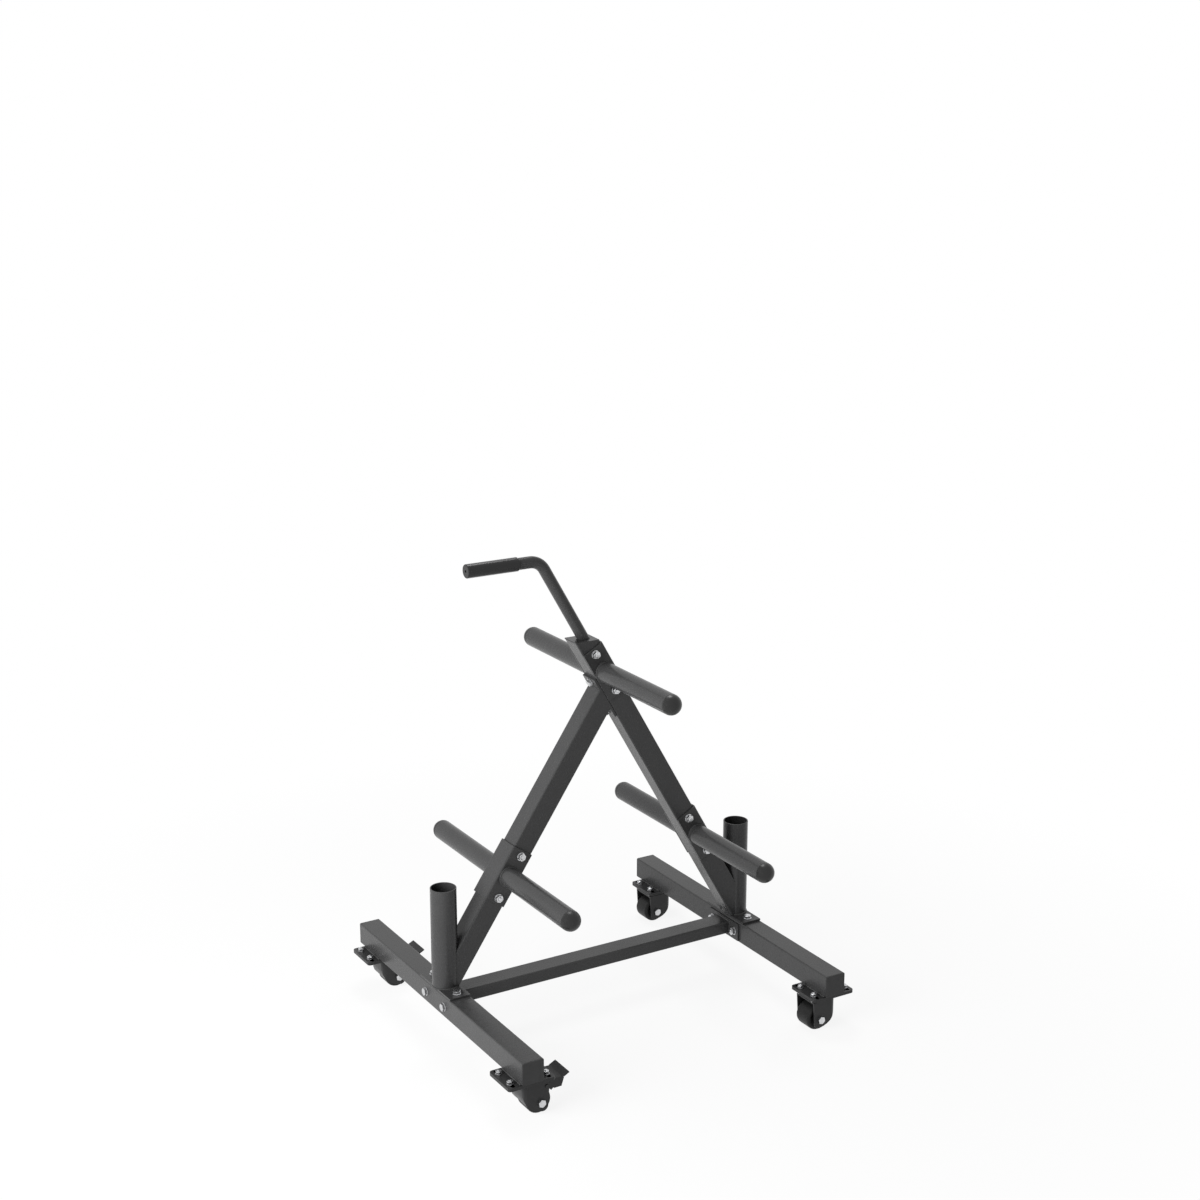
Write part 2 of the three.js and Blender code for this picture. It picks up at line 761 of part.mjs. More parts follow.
function forkSolid(withBrake) {
  const outside = profileAlongY(forkSide(), 2 * forkHalfWidth)
    .intersect(forkPlan(forkBack, forkHalfWidth, forkPlanCorner));
  const cavity = profileAlongY(forkCavity(), legGap)
    .intersect(forkPlan(forkBack - legThick, half(legGap), forkPlanCorner - legThick));
  const disc = post(raceRadius, crownThick, roundSides, shift(0, 0, crownBottom));
  const tools = [
    cavity,
    post(holeRadius(kingpinRadius), 2 * crownThick, washerSides,
      shift(0, 0, crownBottom - half(crownThick))),
    rodAlongY(holeRadius(largeBolt.shank), 2 * forkHalfWidth + overrun, shankSides,
      -wheelOffset, wheelRadius),
  ];
  if (withBrake) {
    tools.push(rodAlongY(holeRadius(pedalPinRadius), 2 * forkHalfWidth + overrun, shankSides,
      -pedalPivotOut, pedalPivotHeight));
  }
  return cut(join(cut(outside, cavity), disc), ...tools.slice(1));
}

// Wheel: a crowned tread on a hub that fills the gap between the legs
const wheelSides = 24;

function wheelGeometry() {
  const tyre = half(wheelWidth);
  const hub = half(legGap) - seatGap;
  const bore = largeBolt.shank + slideGap;
  const side = [
    [bore, hub],
    [hubRadius, hub],
    [hubRadius, tyre - rimRecess],
    [rimRadius, tyre - rimRecess],
    [rimRadius, tyre],
    [wheelRadius - wheelShoulder, tyre],
    [wheelRadius - wheelShoulder * (1 - Math.SQRT1_2), tyre - wheelShoulder * (1 - Math.SQRT1_2)],
    [wheelRadius, tyre - wheelShoulder],
  ];
  const mirrored = side.map(([radius, along]) => [radius, -along]);
  const loop = [...mirrored, ...side.slice().reverse(), mirrored[0]];
  return new THREE.LatheGeometry(loop.map(([radius, along]) => new THREE.Vector2(radius, along)), wheelSides);
}

// Brake pedal: a pressed channel over the wheel, with a shoe inside and a foot
// pad on its lip; outlines are distances along and above its pivot pin
const pedalTopOutline = [
  [-44, 11],
  [-13, 11],
  [-10, 4],
  [4, 4],
  [4, 1.5],
  [-11.5, 1.5],
  [-14.8, 8.5],
  [-44, 8.5],
];
const pedalWallOutline = [
  [-44, 11],
  [-13, 11],
  [-10, 4],
  [4, 4],
  [6, -3.5],
  [1.5, -7.5],
  [-16.5, -8.3],
  [-21.2, -13.2],
  [-40.5, -13],
  [-47, 6.5],
];
const pedalLipOutline = [
  [-44, 11],
  [-42, 8.5],
  [-44.4, 6],
  [-38, -13],
  [-40.5, -13],
  [-47, 6.5],
];
const pedalPadOutline = [
  [-42, 11],
  [-59, 19.5],
  [-60.3, 16.7],
  [-46, 9],
];
const pedalShoeOutline = [
  [-19, 9],
  [-13.8, 9],
  [-10.3, 2.5],
  [-7, 2.5],
  [-7, -5.5],
  [-11, -13.5],
  [-14, -16],
  [-19, -11.5],
];

function pressing(outline, width, y = 0) {
  return moved(profileAlongY(outline, width), shift(-pedalPivotOut, y, pedalPivotHeight));
}

function pedalSolid() {
  const walls = signs.map((side) => pressing(pedalWallOutline, pedalWall, side * half(pedalWidth - pedalWall)));
  const barrel = rodAlongY(pedalBarrelRadius, legGap - 2 * slideGap, washerSides,
    -pedalPivotOut, pedalPivotHeight);
  const rivetFace = forkHalfWidth + seatGap;
  const pin = rodAlongY(pedalPinRadius, 2 * (rivetFace + pedalRivetThick), shankSides,
    -pedalPivotOut, pedalPivotHeight);
  const rivets = signs.map((side) => rodAlongY(pedalRivetRadius, pedalRivetThick, washerSides,
    -pedalPivotOut, pedalPivotHeight, side * (rivetFace + half(pedalRivetThick))));
  return join(
    pressing(pedalTopOutline, pedalWidth),
    pressing(pedalLipOutline, pedalWidth),
    pressing(pedalPadOutline, padWidth),
    pressing(pedalShoeOutline, pedalWidth - 2 * slideGap),
    ...walls, barrel, pin, ...rivets,
  );
}

function addCaster(rack, side, end) {
  const name = `${end < 0 ? 'front' : 'rear'}_${side < 0 ? 'left' : 'right'}`;
  const withBrake = side < 0;
  const caster = new THREE.Group();
  caster.position.set(side * baseX, end < 0 ? frontCasterY : rearCasterY, 0);
  rack.add(caster);
  caster.add(node(`${name}_caster_plate`, casterPlateSolid(), darkPaint));

  const swivel = new THREE.Group();
  swivel.rotation.z = side < 0 ? Math.PI : 0;
  caster.add(swivel);
  swivel.add(node(`${name}_caster_fork`, forkSolid(withBrake), darkPaint));
  const wheel = node(`${name}_wheel`, toSolid(wheelGeometry()), tread);
  wheel.position.set(-wheelOffset, 0, wheelRadius);
  swivel.add(wheel);
  if (withBrake) swivel.add(node(`${name}_brake_pedal`, pedalSolid(), darkPaint));

  const axle = node(`${name}_axle_bolt`, boltSolid({ ...largeBolt, washer: 0 }, 2 * forkHalfWidth), zinc);
  axle.rotation.x = -Math.PI / 2;
  axle.position.set(-side * wheelOffset, -forkHalfWidth, wheelRadius);
  caster.add(axle);
}

const rack = new THREE.Group();
addBase(rack);
addCrossTube(rack);
addHolders(rack);
addUprights();
rack.add(leftFrame, rightFrame);
addPegPair(leftFrame, 'left', leftPegAlong, -1);
addPegPair(rightFrame, 'right', rightPegAlong, 1);
addPegPair(rightFrame, 'top', topPegAlong, 1);
addHandle(rack);
signs.forEach((side) => signs.forEach((end) => addCaster(rack, side, end)));

export default rack;
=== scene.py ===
# Barbell storage rack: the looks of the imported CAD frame, in metres and in its own frame
import math

import bmesh
import bpy
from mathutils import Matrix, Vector


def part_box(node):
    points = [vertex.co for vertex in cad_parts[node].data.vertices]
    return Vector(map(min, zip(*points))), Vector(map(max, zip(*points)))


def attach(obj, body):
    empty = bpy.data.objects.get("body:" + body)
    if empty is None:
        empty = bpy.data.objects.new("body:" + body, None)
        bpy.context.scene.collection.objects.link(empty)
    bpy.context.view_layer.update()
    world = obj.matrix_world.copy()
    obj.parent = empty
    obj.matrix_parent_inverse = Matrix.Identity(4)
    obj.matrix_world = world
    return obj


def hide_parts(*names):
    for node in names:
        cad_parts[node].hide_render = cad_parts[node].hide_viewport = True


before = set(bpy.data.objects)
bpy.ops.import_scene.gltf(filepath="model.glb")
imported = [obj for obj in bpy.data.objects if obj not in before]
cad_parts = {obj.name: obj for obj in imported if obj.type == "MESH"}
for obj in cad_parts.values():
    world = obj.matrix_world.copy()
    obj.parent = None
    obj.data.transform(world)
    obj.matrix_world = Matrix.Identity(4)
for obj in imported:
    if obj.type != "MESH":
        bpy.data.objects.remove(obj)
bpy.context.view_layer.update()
scene = bpy.context.scene
mm = 0.001
print("frame loaded:", len(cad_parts), "nodes")

# Camera: fitted to the photo's edges
photoView = {
    "place": (-2.3443, -3.9385, 2.2964),
    "yaw": 30.90,
    "pitch": 15.20,
    "lens": 59.71,
    "sensor": 36.0,
}


def makeCamera():
    yaw = math.radians(photoView["yaw"])
    pitch = math.radians(photoView["pitch"])
    look = Vector((math.sin(yaw) * math.cos(pitch), math.cos(yaw) * math.cos(pitch),
                   -math.sin(pitch)))
    data = bpy.data.cameras.new("photoCamera")
    data.lens = photoView["lens"]
    data.sensor_width = photoView["sensor"]
    camera = bpy.data.objects.new("photoCamera", data)
    camera.location = photoView["place"]
    camera.rotation_mode = "QUATERNION"
    camera.rotation_quaternion = look.to_track_quat("-Z", "Y")
    scene.collection.objects.link(camera)
    scene.camera = camera


makeCamera()

# Finishes: one procedural material for each slot of the record; grain and cloud are noise scales
finishValues = {
    "powder_coat": {
        "color": (0.039, 0.039, 0.0395), "roughness": 0.28, "spread": 0.04, "mottle": 0.04,
        "gloss": 0.25, "metallic": 0.0, "grain": 1500.0, "depth": 0.05, "cloud": 26.0,
    },
    "caster_metal": {
        "color": (0.017, 0.017, 0.0175), "roughness": 0.34, "spread": 0.06, "mottle": 0.1,
        "gloss": 0.3, "metallic": 0.0, "grain": 1900.0, "depth": 0.05, "cloud": 22.0,
    },
    "zinc": {
        "color": (0.6, 0.605, 0.615), "roughness": 0.24, "spread": 0.1, "mottle": 0.12,
        "gloss": 0.5, "metallic": 1.0, "grain": 900.0, "depth": 0.03, "cloud": 120.0,
    },
    "peg_cap": {
        "color": (0.009, 0.009, 0.009), "roughness": 0.34, "spread": 0.04, "mottle": 0.05,
        "gloss": 0.4, "metallic": 0.0, "grain": 500.0, "depth": 0.01, "cloud": 30.0,
    },
    "end_cap": {
        "color": (0.028, 0.028, 0.0285), "roughness": 0.5, "spread": 0.05, "mottle": 0.06,
        "gloss": 0.3, "metallic": 0.0, "grain": 2400.0, "depth": 0.1, "cloud": 14.0,
    },
    "wheel_rubber": {
        "color": (0.012, 0.012, 0.012), "roughness": 0.46, "spread": 0.08, "mottle": 0.18,
        "gloss": 0.2, "metallic": 0.0, "grain": 1300.0, "depth": 0.08, "cloud": 45.0,
    },
    "grip_rubber": {
        "color": (0.007, 0.007, 0.0072), "roughness": 0.24, "spread": 0.04, "mottle": 0.1,
        "gloss": 0.36, "metallic": 0.0, "grain": 2100.0, "depth": 0.12, "cloud": 26.0,
    },
}

noiseValues = {"low": 0.3, "high": 0.7, "cloudDetail": 4.0, "sheenDetail": 3.0, "sheenScale": 5,
               "grainDetail": 2.0, "bump": 0.3 * mm}


def makeFinish(name, values):
    material = bpy.data.materials.new(name)
    material.use_nodes = True
    nodes, links = material.node_tree.nodes, material.node_tree.links
    shader = nodes["Principled BSDF"]
    shader.inputs["Metallic"].default_value = values["metallic"]
    shader.inputs["Specular IOR Level"].default_value = values["gloss"]
    place = nodes.new("ShaderNodeTexCoord")

    def noise(scale, detail):
        node = nodes.new("ShaderNodeTexNoise")
        node.inputs["Scale"].default_value = scale
        node.inputs["Detail"].default_value = detail
        links.new(place.outputs["Object"], node.inputs["Vector"])
        return node

    def remap(source, low, high):
        node = nodes.new("ShaderNodeMapRange")
        node.inputs["From Min"].default_value = noiseValues["low"]
        node.inputs["From Max"].default_value = noiseValues["high"]
        node.inputs["To Min"].default_value = low
        node.inputs["To Max"].default_value = high
        links.new(source.outputs["Fac"], node.inputs["Value"])
        return node

    cloud = noise(values["cloud"], noiseValues["cloudDetail"])
    tint = nodes.new("ShaderNodeMix")
    tint.data_type = "RGBA"
    for end, change in (("A", 1 - values["mottle"]), ("B", 1 + values["mottle"])):
        tint.inputs[end].default_value = (*[c * change for c in values["color"]], 1)
    links.new(remap(cloud, 0.0, 1.0).outputs["Result"], tint.inputs["Factor"])
    links.new(tint.outputs["Result"], shader.inputs["Base Color"])

    sheen = noise(values["cloud"] * noiseValues["sheenScale"], noiseValues["sheenDetail"])
    low, high = values["roughness"] - values["spread"], values["roughness"] + values["spread"]
    links.new(remap(sheen, low, high).outputs["Result"], shader.inputs["Roughness"])

    bump = nodes.new("ShaderNodeBump")
    bump.inputs["Strength"].default_value = values["depth"]
    bump.inputs["Distance"].default_value = noiseValues["bump"]
    grain = noise(values["grain"], noiseValues["grainDetail"])
    links.new(grain.outputs["Fac"], bump.inputs["Height"])
    links.new(bump.outputs["Normal"], shader.inputs["Normal"])
    return material


finishes = {slotName: makeFinish(slotName, values) for slotName, values in finishValues.items()}
print("finishes made:", ", ".join(finishes))


# Helpers for meshes; flat, sharp, fastenerSharp and bevelFrom are angles in degrees
meshValues = {"merge": 0.01 * mm, "flat": 0.4, "sharp": 38.0, "fastenerSharp": 28.0,
              "bevelFrom": 50.0, "bevelSteps": 2, "normalWeight": 60}
upAxis = (0, 0, 1)


def newPiece(name, mesh):
    piece = bpy.data.objects.new(name, mesh)
    scene.collection.objects.link(piece)
    return piece


# A piece from a bmesh, smooth except along its sharp edges
def smoothPiece(name, bm, sharp):
    for face in bm.faces:
        face.smooth = True
    for edge in bm.edges:
        edge.smooth = len(edge.link_faces) == 2 and edge.calc_face_angle(0.0) < math.radians(sharp)
    mesh = bpy.data.meshes.new(name)
    bm.to_mesh(mesh)
    bm.free()
    return newPiece(name, mesh)


def bake(piece):
    graph = bpy.context.evaluated_depsgraph_get()
    baked = bpy.data.meshes.new_from_object(piece.evaluated_get(graph))
    piece.modifiers.clear()
    piece.data = baked


def settle(piece, body, slotName, nodes=()):
    piece.data.materials.clear()
    piece.data.materials.append(finishes[slotName])
    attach(piece, body)
    if nodes:
        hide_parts(*nodes)


def addPiece(name, bm, body, slotName, nodes):
    piece = smoothPiece(name, bm, meshValues["sharp"])
    weighted = piece.modifiers.new("weightedNormals", "WEIGHTED_NORMAL")
    weighted.keep_sharp = True
    weighted.weight = meshValues["normalWeight"]
    bake(piece)
    settle(piece, body, slotName, nodes)


def nodeCopy(node):
    bm = bmesh.new()
    bm.from_mesh(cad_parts[node].data)
    bmesh.ops.remove_doubles(bm, verts=bm.verts, dist=meshValues["merge"])
    bmesh.ops.dissolve_limit(bm, angle_limit=math.radians(meshValues["flat"]), verts=bm.verts,
                             edges=bm.edges)
    return bm


def bevel(bm, edges, width, steps):
    bmesh.ops.bevel(bm, geom=edges, offset=width, segments=steps, profile=0.5,
                    affect="EDGES", clamp_overlap=True)
    return bm


def roundEdges(bm, width):
    edges = [e for e in bm.edges if len(e.link_faces) == 2
             and e.calc_face_angle(0.0) > math.radians(meshValues["bevelFrom"])]
    return bevel(bm, edges, width, meshValues["bevelSteps"])


# The CAD node itself with its edges eased, on the body it belongs to
def easeNode(name, node, width, body, slotName):
    addPiece(name, roundEdges(nodeCopy(node), width), body, slotName, [node])


def cutAway(bm, inside):
    gone = [f for f in bm.faces if inside(f.calc_center_median())]
    bmesh.ops.delete(bm, geom=gone, context="FACES")
    bmesh.ops.holes_fill(bm, edges=[e for e in bm.edges if e.is_boundary], sides=0)
    return bm


# Points round an axis through centre, at a height along it
def circle(centre, along, radius, height, sides):
    turn = Vector(upAxis).rotation_difference(Vector(along))
    return [Vector(centre) + turn @ Vector((radius * math.cos(a), radius * math.sin(a), height))
            for a in (2 * math.pi * k / sides for k in range(sides))]


# Lathes (radius, height) points about an axis from centre; a radius of zero makes a pole
def turned(bm, profile, centre, along, sides=64, closed=True):
    rings = []
    for radius, height in profile:
        points = circle(centre, along, radius, height, sides if radius > 0 else 1)
        rings.append([bm.verts.new(point) for point in points])
    pairs = list(zip(rings, rings[1:]))
    if closed:
        pairs.append((rings[-1], rings[0]))
    made = []
    for low, high in pairs:
        if len(low) == 1 and len(high) == 1:
            continue
        for k in range(sides):
            n = (k + 1) % sides
            if len(low) == 1:
                made.append(bm.faces.new((low[0], high[n], high[k])))
            elif len(high) == 1:
                made.append(bm.faces.new((low[k], low[n], high[0])))
            else:
                made.append(bm.faces.new((low[k], low[n], high[n], high[k])))
    bmesh.ops.recalc_face_normals(bm, faces=made)
    return bm


# Points of a rounding in (radius, height), angles in degrees from outwards
def arc(centreRadius, centreHeight, radius, start, end, steps):
    turns = [math.radians(start + (end - start) * k / steps) for k in range(steps + 1)]
    return [(centreRadius + radius * math.cos(a), centreHeight + radius * math.sin(a))
            for a in turns]


# Geometry Nodes: placed copies and weld beads
def newTree(name, inputs):
    tree = bpy.data.node_groups.new(name, "GeometryNodeTree")
    tree.interface.new_socket("Geometry", in_out="INPUT", socket_type="NodeSocketGeometry")
    for label, kind in inputs:
        tree.interface.new_socket(label, in_out="INPUT", socket_type=f"NodeSocket{kind}")
    tree.interface.new_socket("Geometry", in_out="OUTPUT", socket_type="NodeSocketGeometry")
    return tree, tree.nodes.new("NodeGroupInput"), tree.nodes.new("NodeGroupOutput")


# The end of each tree: real geometry with its finish
def realPaint(tree, geometry, source, result):
    real = tree.nodes.new("GeometryNodeRealizeInstances")
    tree.links.new(geometry, real.inputs["Geometry"])
    paint = tree.nodes.new("GeometryNodeSetMaterial")
    tree.links.new(real.outputs["Geometry"], paint.inputs["Geometry"])
    tree.links.new(source.outputs["Finish"], paint.inputs["Material"])
    tree.links.new(paint.outputs["Geometry"], result.inputs["Geometry"])


def copiesTree():
    tree, source, result = newTree("placedCopies", [
        ("Template", "Object"), ("Finish", "Material"), ("Loose Turn", "Float"), ("Seed", "Int"),
    ])
    nodes, links = tree.nodes, tree.links
    template = nodes.new("GeometryNodeObjectInfo")
    template.inputs["As Instance"].default_value = True
    links.new(source.outputs["Template"], template.inputs["Object"])
    copies = nodes.new("GeometryNodeInstanceOnPoints")
    links.new(source.outputs["Geometry"], copies.inputs["Points"])
    links.new(template.outputs["Geometry"], copies.inputs["Instance"])
    for label, socket in (("facing", "Rotation"), ("stretch", "Scale")):
        stored = nodes.new("GeometryNodeInputNamedAttribute")
        stored.data_type = "FLOAT_VECTOR"
        stored.inputs["Name"].default_value = label
        links.new(stored.outputs["Attribute"], copies.inputs[socket])
    chance = nodes.new("FunctionNodeRandomValue")
    chance.data_type = "FLOAT"
    links.new(source.outputs["Loose Turn"], chance.inputs[3])
    links.new(source.outputs["Seed"], chance.inputs["Seed"])
    spin = nodes.new("ShaderNodeCombineXYZ")
    links.new(chance.outputs[1], spin.inputs["Z"])
    turn = nodes.new("GeometryNodeRotateInstances")
    links.new(copies.outputs["Instances"], turn.inputs["Instances"])
    links.new(spin.outputs["Vector"], turn.inputs["Rotation"])
    realPaint(tree, turn.outputs["Instances"], source, result)
    return tree


beadValues = {"radius": 2.3 * mm, "ripple": 0.1, "step": 0.75 * mm, "turnPerStep": 0.785,
              "sides": 8}


def beadTree():
    tree, source, result = newTree("weldBead", [
        ("Bead Radius", "Float"), ("Ripple", "Float"), ("Step", "Float"), ("Finish", "Material"),
    ])
    nodes, links = tree.nodes, tree.links
    path = nodes.new("GeometryNodeMeshToCurve")
    links.new(source.outputs["Geometry"], path.inputs["Mesh"])
    even = nodes.new("GeometryNodeResampleCurve")
    even.mode = "LENGTH"
    links.new(path.outputs["Curve"], even.inputs["Curve"])
    links.new(source.outputs["Step"], even.inputs["Length"])
    number = nodes.new("GeometryNodeInputIndex")

    def maths(operation, *values):
        node = nodes.new("ShaderNodeMath")
        node.operation = operation
        for socket, value in zip(node.inputs, values):
            if isinstance(value, float):
                socket.default_value = value
            else:
                links.new(value, socket)
        return node.outputs[0]

    phase = maths("MULTIPLY", number.outputs[0], beadValues["turnPerStep"])
    wave = maths("ABSOLUTE", maths("SINE", phase))
    height = maths("MULTIPLY", wave, source.outputs["Ripple"])
    size = maths("MULTIPLY", maths("ADD", height, 1.0), source.outputs["Bead Radius"])
    ring = nodes.new("GeometryNodeCurvePrimitiveCircle")
    ring.inputs["Resolution"].default_value = beadValues["sides"]
    ring.inputs["Radius"].default_value = 1.0
    body = nodes.new("GeometryNodeCurveToMesh")
    body.inputs["Fill Caps"].default_value = True
    links.new(even.outputs["Curve"], body.inputs["Curve"])
    links.new(ring.outputs["Curve"], body.inputs["Profile Curve"])
    links.new(size, body.inputs["Scale"])
    realPaint(tree, body.outputs["Mesh"], source, result)
    return tree


trees = {"copies": copiesTree(), "bead": beadTree()}


def runTree(name, mesh, tree, values):
    piece = newPiece(name, mesh)
    modifier = piece.modifiers.new(tree.name, "NODES")
    modifier.node_group = tree
    for item in tree.interface.items_tree:
        if item.in_out == "INPUT" and item.name in values:
            modifier[item.identifier] = values[item.name]
    bake(piece)
    return piece


def placeCopies(name, template, places, slotName, looseTurn, seed):
    mesh = bpy.data.meshes.new(name)
    mesh.from_pydata([p["at"] for p in places], [], [])
    facing = mesh.attributes.new("facing", "FLOAT_VECTOR", "POINT")
    stretch = mesh.attributes.new("stretch", "FLOAT_VECTOR", "POINT")
    for k, p in enumerate(places):
        facing.data[k].vector = p["facing"]
        stretch.data[k].vector = p["stretch"]
    return runTree(name, mesh, trees["copies"], {"Template": template, "Finish": finishes[slotName],
                                                 "Loose Turn": looseTurn, "Seed": seed})


def joinPieces(name, parts):
    bm = bmesh.new()
    for part in parts:
        bm.from_mesh(part.data)
        bpy.data.objects.remove(part)
    for layer in list(bm.verts.layers.float_vector):
        bm.verts.layers.float_vector.remove(layer)
    mesh = bpy.data.meshes.new(name)
    bm.to_mesh(mesh)
    bm.free()
    return newPiece(name, mesh)


# Square tube, plates and saddles: the CAD shapes with their edges eased
tubeValues = {"edge": 0.7 * mm, "plateEdge": 0.5 * mm, "capEdge": 1.1 * mm, "mountTop": 95.5 * mm,
              "mountGap": 0.04 * mm, "mountTrim": 0.3 * mm}


def keepSide(bm, place, normal):
    cut = bmesh.ops.bisect_plane(bm, geom=bm.verts[:] + bm.edges[:] + bm.faces[:], plane_co=place,
                                 plane_no=normal, clear_outer=True)
    rim = [e for e in cut["geom_cut"] if isinstance(e, bmesh.types.BMEdge) and e.is_boundary]
    bmesh.ops.holes_fill(bm, edges=rim, sides=0)
    return bm


# The welded plates under the ends are split off and get the darker caster finish: painted shade,
# standing in for the contact shadow that falls on them beside the tube
def splitBase(side):
    node, v = f"{side}_base_tube", tubeValues
    tube = keepSide(nodeCopy(node), (0, 0, v["mountTop"] + v["mountGap"]), (0, 0, -1))
    addPiece(f"{side}BaseTube", roundEdges(tube, v["plateEdge"]), "frame", "powder_coat", [node])
    for end, facing in (("front", -1), ("rear", 1)):
        plate = nodeCopy(node)
        inner = min(abs(vert.co.y) for vert in plate.verts if vert.co.z < v["mountTop"] - mm)
        keepSide(plate, (0, 0, v["mountTop"] - v["mountGap"]), (0, 0, 1))
        keepSide(plate, (0, facing * (inner + v["mountTrim"]), 0), (0, -facing, 0))
        # The darker caster finish on these plates is painted shade for the contact shadow under the
        # tube, not a different paint
        addPiece(f"{side}{end.title()}MountPlate", roundEdges(plate, v["plateEdge"]),
                 "frame", "caster_metal", [node])


def dressFrame():
    for side in ("left", "right"):
        splitBase(side)
        for end in ("front", "rear"):
            easeNode(f"{side}{end.title()}EndCap", f"{side}_{end}_end_cap", tubeValues["capEdge"],
                     "frame", "end_cap")
    easeNode("crossTube", "cross_tube", tubeValues["plateEdge"], "frame", "powder_coat")
    easeNode("leftUpright", "left_upright", tubeValues["plateEdge"], "frame", "powder_coat")
    for level in ("left", "right", "top"):
        easeNode(f"{level}Saddle", f"{level}_saddle", tubeValues["edge"], "frame", "powder_coat")


dressFrame()

# The right upright loses its two apex bolts here, which are made again in zinc
uprightValues = {"lean": 30.0, "foot": (426.25 * mm, 155 * mm), "face": 27.5 * mm,
                 "plate": 6.6 * mm, "boltsAlong": (728.2 * mm, 821.2 * mm), "clear": 0.15 * mm,
                 "boltReach": 12 * mm}


# A point in the middle plane, from the right upright's foot
def onRight(across, along):
    lean = math.radians(uprightValues["lean"])
    x, z = uprightValues["foot"]
    return Vector((x + across * math.cos(lean) - along * math.sin(lean), 0.0,
                   z + across * math.sin(lean) + along * math.cos(lean)))


outward = (onRight(-1, 0) - onRight(0, 0)).normalized()


def dressRightUpright():
    v = uprightValues
    heads = [onRight(-v["face"], along) for along in v["boltsAlong"]]

    def isBolt(point):
        for head in heads:
            reach = (point - head).dot(outward)
            if reach > v["clear"] and (point - head - outward * reach).length < v["boltReach"]:
                return True
        return False

    bare = cutAway(nodeCopy("right_upright"), isBolt)
    addPiece("rightUpright", roundEdges(bare, tubeValues["plateEdge"]), "frame", "powder_coat",
             ["right_upright"])


dressRightUpright()
print("frame dressed")

# Bar holders: round tube on its plate
holderValues = {"outer": 31.75 * mm, "inner": 28.75 * mm, "foot": 154.5 * mm, "mouth": 405 * mm,
                "lip": 1.1 * mm, "plateTop": 155 * mm, "clear": 0.05 * mm, "within": 0.1 * mm}


def makeHolder(side):
    v = holderValues
    node = f"{side}_bar_holder"
    low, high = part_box(node)
    centre = Vector(((low.x + high.x) / 2, 0, 0))

    def isTube(point):
        across = math.hypot(point.x - centre.x, point.y)
        return point.z > v["plateTop"] + v["clear"] or (
            point.z > v["plateTop"] - v["within"] and across < v["outer"])

    bm = roundEdges(cutAway(nodeCopy(node), isTube), tubeValues["plateEdge"])
    lip = v["lip"]
    profile = [(v["inner"], v["foot"]), (v["outer"], v["foot"])]
    profile += arc(v["outer"] - lip, v["mouth"] - lip, lip, 0, 90, 4)
    profile += arc(v["inner"] + lip, v["mouth"] - lip, lip, 90, 180, 4)
    turned(bm, profile, centre, upAxis, 72)
    addPiece(f"{side}BarHolder", bm, "frame", "powder_coat", [node])


for side in ("left", "right"):
    makeHolder(side)

# Pegs and their domed plugs
pegValues = {"outer": 25 * mm, "inner": 22.5 * mm, "edge": 0.5 * mm, "short": 0.02 * mm,
             "dome": 25 * mm, "domeSteps": 18, "plug": 18 * mm, "plugRoom": 0.35 * mm}


def makePeg(level, end, facing):
    v = pegValues
    node = f"{level}_{end}_peg"
    low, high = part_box(node)
    start, stop = sorted((abs(low.y), abs(high.y)))
    centre, along = ((low.x + high.x) / 2, 0, (low.z + high.z) / 2), (0, facing, 0)
    edge, tip = v["edge"], stop - v["short"]
    tube = [(v["inner"], start), (v["outer"], start), (v["outer"], stop - edge),
            (v["outer"] - edge, tip), (v["inner"], tip)]
    addPiece(f"{level}{end.title()}Peg", turned(bmesh.new(), tube, centre, along),
             "frame", "powder_coat", [node])
    plugRadius, plugFoot, steps = v["inner"] - v["plugRoom"], stop - v["plug"], v["domeSteps"]
    dome = [(0.0, plugFoot), (plugRadius, plugFoot), (plugRadius, stop), (v["outer"] - edge, stop)]
    dome += [(v["outer"] * math.cos(a), stop + v["dome"] * math.sin(a))
             for a in (math.radians(2 + 88 * k / steps) for k in range(steps))]
    dome.append((0.0, stop + v["dome"]))
    addPiece(f"{level}{end.title()}PegCap", turned(bmesh.new(), dome, centre, along, closed=False),
             "frame", "peg_cap", [f"{node}_cap"])


for level in ("left", "right", "top"):
    for end, facing in (("front", -1), ("rear", 1)):
        makePeg(level, end, facing)

# Pull handle and grip
handleValues = {"radius": 14.3 * mm, "wall": 2 * mm, "bend": 45 * mm, "height": 1166.7 * mm,
                "start": 961.3 * mm, "end": -341 * mm, "shift": 5.5 * mm, "sides": 40,
                "bendSteps": 24}


